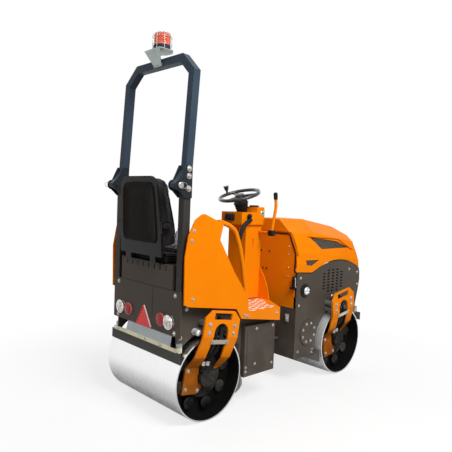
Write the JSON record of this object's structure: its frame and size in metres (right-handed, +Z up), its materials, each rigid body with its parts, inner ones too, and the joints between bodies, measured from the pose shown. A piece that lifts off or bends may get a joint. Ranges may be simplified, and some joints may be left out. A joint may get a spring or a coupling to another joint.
{
  "type": "ride-on tandem road roller",
  "caption": "Articulated ride-on tandem road roller with smooth steel drums, folding roll bar, beacon and orange bodywork",
  "frame": {"origin": "on the ground under the steering pivot, in the middle of the machine", "axes": "+X forward over the engine hood, +Y to the operator's left, +Z up"},
  "size_m": [2.1684, 0.8948, 2.526],
  "materials": {
    "orange_paint": "gloss",
    "grey_paint": "satin",
    "bar_paint": "satin",
    "drum_steel": "brushed",
    "zinc": "satin",
    "dark_steel": "matte",
    "rod_chrome": "gloss",
    "rubber": "matte",
    "seat_vinyl": "satin",
    "shell_plastic": "matte",
    "black_plastic": "satin",
    "red_lens": "gloss",
    "lamp_glass": "gloss",
    "amber_lens": "gloss"
  },
  "bodies": {
    "rear_frame": {"rear_chassis": "grey_paint", "rear_sides": "grey_paint", "foot_boxes": "grey_paint", "floor_step": "orange_paint", "side_shields": "orange_paint", "handrails": "orange_paint", "seat_base": "grey_paint", "seat_shell": "shell_plastic", "seat_back": "seat_vinyl", "seat_cushion": "seat_vinyl", "roll_posts": "bar_paint", "steering_column": "orange_paint", "dash_box": "orange_paint", "dash_controls": "black_plastic", "travel_lever": "orange_paint", "rear_scraper": "zinc", "rear_flap": "rubber", "work_lamps": "lamp_glass", "tail_lamps": "red_lens", "rear_reflector": "red_lens", "rear_yokes": "orange_paint", "rear_mounts": "rubber", "rear_motors": "dark_steel", "rear_hoses": "rubber", "rear_pivot": "grey_paint"},
    "rear_drum": {"rear_drum": "drum_steel", "rear_buffers": "rubber"},
    "roll_hoop": {"roll_hoop": "bar_paint", "beacon_bracket": "zinc", "beacon_base": "black_plastic", "beacon_lens": "amber_lens"},
    "steering_wheel": {"steering_wheel": "black_plastic"},
    "front_drum": {"front_drum": "drum_steel", "front_buffers": "rubber"},
    "hood": {"hood": "orange_paint", "hood_mesh": "black_plastic"},
    "steer_barrel": {"steer_barrel": "dark_steel"},
    "steer_rod": {"steer_rod": "rod_chrome"},
    "front_frame": {"front_chassis": "grey_paint", "front_sides": "grey_paint", "front_wall": "orange_paint", "wall_seal": "rubber", "front_pivot": "grey_paint", "front_yokes": "orange_paint", "front_mounts": "rubber", "front_motors": "dark_steel", "front_hoses": "rubber", "front_scraper": "zinc", "front_flap": "rubber", "engine": "dark_steel", "cover_plates": "grey_paint", "filler_caps": "rod_chrome", "head_lamps": "lamp_glass", "hood_latches": "rubber", "hood_hinges": "grey_paint"}
  },
  "joints": [
    {"name": "articulation", "type": "hinge", "parent": "rear_frame", "child": "front_frame", "pos_m": [0, 0, 0.38], "axis": [0, 0, 1], "range_deg": [-30, 30]},
    {"name": "rear_drum_spin", "type": "hinge", "parent": "rear_frame", "child": "rear_drum", "pos_m": [-0.75, 0, 0.28], "axis": [0, 1, 0], "continuous": true},
    {"name": "front_drum_spin", "type": "hinge", "parent": "front_frame", "child": "front_drum", "pos_m": [0.75, 0, 0.28], "axis": [0, 1, 0], "continuous": true},
    {"name": "roll_bar_fold", "type": "hinge", "parent": "rear_frame", "child": "roll_hoop", "pos_m": [-1.043, 0, 1.526], "axis": [0, -1, 0], "range_deg": [0, 150]},
    {"name": "hood_hinge", "type": "hinge", "parent": "front_frame", "child": "hood", "pos_m": [1.072, 0, 0.884], "axis": [0, 1, 0], "range_deg": [0, 60]},
    {"name": "steering_spin", "type": "hinge", "parent": "rear_frame", "child": "steering_wheel", "pos_m": [-0.145, 0, 1.487], "axis": [-0.309, 0, 0.9511], "continuous": true},
    {"name": "cylinder_swing", "type": "hinge", "parent": "rear_frame", "child": "steer_barrel", "pos_m": [-0.26, -0.15, 0.38], "axis": [0, 0, 1], "range_deg": [-8.91, 8.91]},
    {"name": "cylinder_stroke", "type": "slide", "parent": "steer_barrel", "child": "steer_rod", "axis": [1, 0, 0], "range_m": [-0.0792, 0.0792]}
  ],
  "couplings": [
    {"joint": "cylinder_swing", "follows": "articulation", "ratio": 0.2804},
    {"joint": "cylinder_stroke", "follows": "articulation", "m_per_rad": 0.14941}
  ]
}
